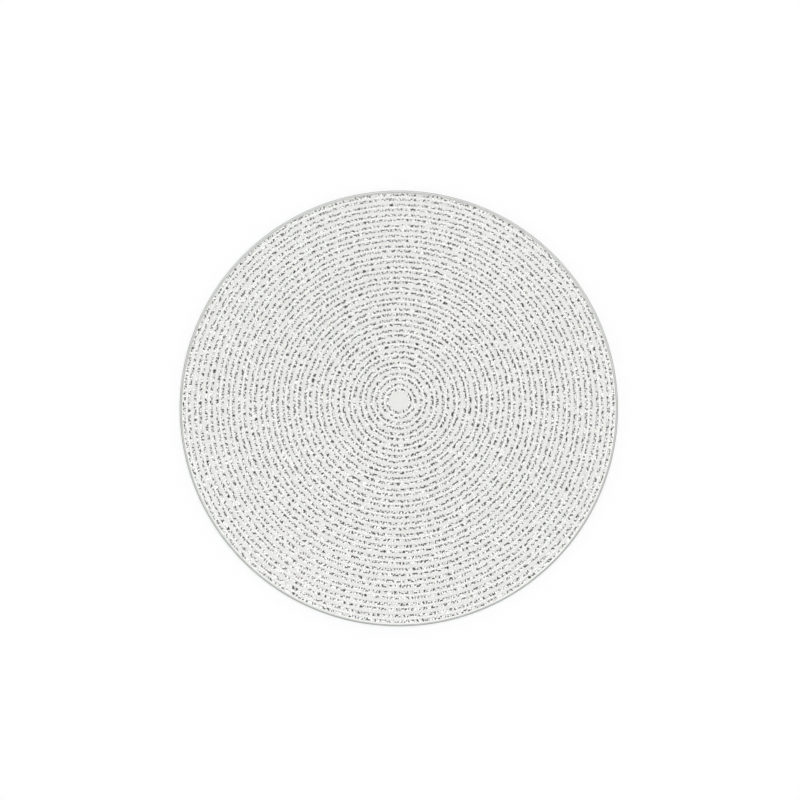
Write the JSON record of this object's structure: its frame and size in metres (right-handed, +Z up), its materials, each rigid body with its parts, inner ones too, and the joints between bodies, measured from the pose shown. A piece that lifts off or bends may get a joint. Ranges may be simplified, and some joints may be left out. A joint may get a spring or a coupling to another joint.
{
  "type": "candle plate",
  "caption": "Round mirror plate to stand a candle on: clear glass, silvered behind, with concentric paired rings of silver glitter on its top face and a ground edge.",
  "frame": {"origin": "centre of the painted underside, on the surface that the plate rests on", "axes": "+Z up along the axis of the round plate, out of the glitter side; +X to the right and +Y away from the viewer in the picture's lower view"},
  "size_m": [0.15, 0.15, 0.003],
  "materials": {
    "glass": "polished clear float glass, ground edge",
    "mirror_silver": "bright silver mirror film",
    "backing_paint": "grey mirror backing paint, matt",
    "adhesive": "clear adhesive, glossy",
    "glitter": "silver glitter flakes, sparkling"
  },
  "bodies": {
    "root": {"glass_disc": "glass", "silver_film": "mirror_silver", "backing_paint": "backing_paint", "adhesive_print": "adhesive", "glitter_ring_01": "glitter", "glitter_ring_02": "glitter", "glitter_ring_03": "glitter", "glitter_ring_04": "glitter", "glitter_ring_05": "glitter", "glitter_ring_06": "glitter", "glitter_ring_07": "glitter", "glitter_ring_08": "glitter", "glitter_ring_09": "glitter", "glitter_ring_10": "glitter", "glitter_ring_11": "glitter", "glitter_ring_12": "glitter", "glitter_ring_13": "glitter", "glitter_ring_14": "glitter", "glitter_ring_15": "glitter", "glitter_ring_16": "glitter", "glitter_ring_17": "glitter", "glitter_ring_18": "glitter", "glitter_ring_19": "glitter", "glitter_ring_20": "glitter", "glitter_ring_21": "glitter", "glitter_ring_22": "glitter", "glitter_ring_23": "glitter", "glitter_ring_24": "glitter", "glitter_ring_25": "glitter", "glitter_ring_26": "glitter", "glitter_ring_27": "glitter", "glitter_ring_28": "glitter", "glitter_ring_29": "glitter", "glitter_ring_30": "glitter", "glitter_ring_31": "glitter", "glitter_ring_32": "glitter", "glitter_ring_33": "glitter", "glitter_ring_34": "glitter", "glitter_ring_35": "glitter", "glitter_ring_36": "glitter", "glitter_ring_37": "glitter", "glitter_ring_38": "glitter"}
  },
  "joints": []
}
